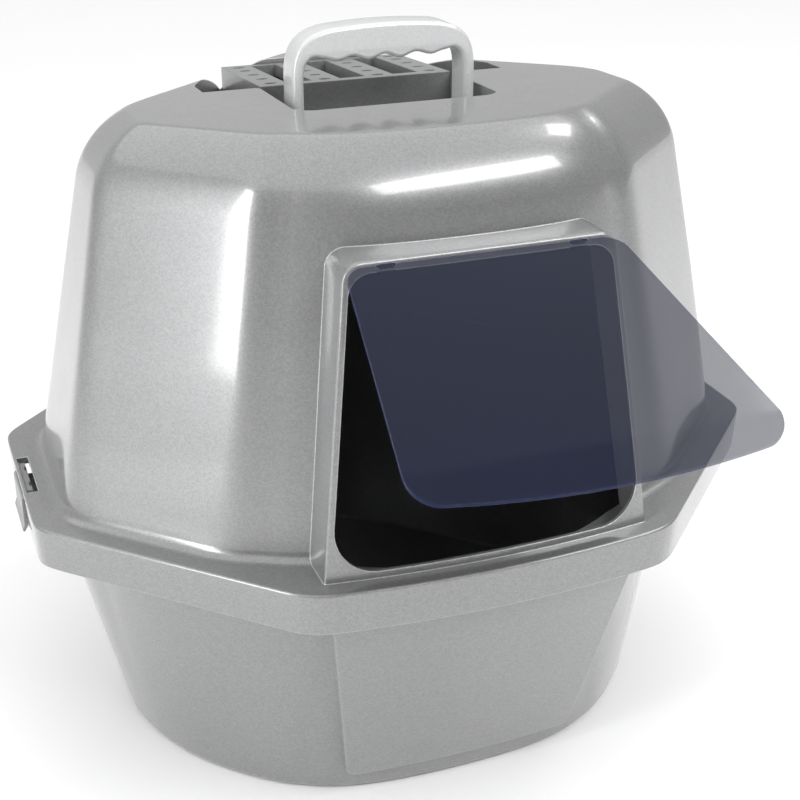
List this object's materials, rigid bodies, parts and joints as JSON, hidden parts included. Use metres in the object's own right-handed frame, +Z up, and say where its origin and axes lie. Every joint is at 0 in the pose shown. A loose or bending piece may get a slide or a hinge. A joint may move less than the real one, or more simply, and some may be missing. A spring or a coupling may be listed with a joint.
{
  "type": "hooded litter box",
  "caption": "Corner-shaped cat litter box: deep pan, latched domed hood with a swinging smoked flap, pop-up carry handle and a lift-off vent cover over a filter pad.",
  "frame": {"origin": "middle of the pan's flat underside, where the box stands on the floor", "axes": "-Y towards the door, +Z up, X across the box from latch to latch"},
  "size_m": [0.5408, 0.6395, 0.506],
  "materials": {
    "silver_plastic": "silver-grey with fine metallic flake, gloss",
    "smoked_plastic": "smoked blue, see-through, polished",
    "pearl_plastic": "pearl white, satin gloss",
    "grey_plastic": "mid grey, satin gloss",
    "carbon_foam": "black carbon-loaded open foam"
  },
  "bodies": {
    "shell": {"pan": "silver_plastic", "hood": "silver_plastic"},
    "flap": {"door_flap": "smoked_plastic"},
    "handle": {"carry_handle": "pearl_plastic"},
    "vent": {"vent_cover": "grey_plastic", "filter_pad": "carbon_foam"},
    "left_latch": {"latch_left": "grey_plastic"},
    "right_latch": {"latch_right": "grey_plastic"}
  },
  "joints": [
    {"name": "flap_hinge", "type": "hinge", "parent": "shell", "child": "flap", "pos_m": [0, -0.2068, 0.3982], "axis": [-1, 0, 0], "range_deg": [-59, 20]},
    {"name": "handle_slide", "type": "slide", "parent": "shell", "child": "handle", "axis": [0, 0, 1], "range_m": [-0.036, 0]},
    {"name": "vent_lift", "type": "slide", "parent": "shell", "child": "vent", "axis": [0, 0, 1], "range_m": [0, 0.06]},
    {"name": "latch_left_hinge", "type": "hinge", "parent": "shell", "child": "left_latch", "pos_m": [-0.262, -0.019, 0.2], "axis": [0, 1, 0], "range_deg": [0, 25]},
    {"name": "latch_right_hinge", "type": "hinge", "parent": "shell", "child": "right_latch", "pos_m": [0.262, -0.019, 0.2], "axis": [0, -1, 0], "range_deg": [0, 25]}
  ]
}
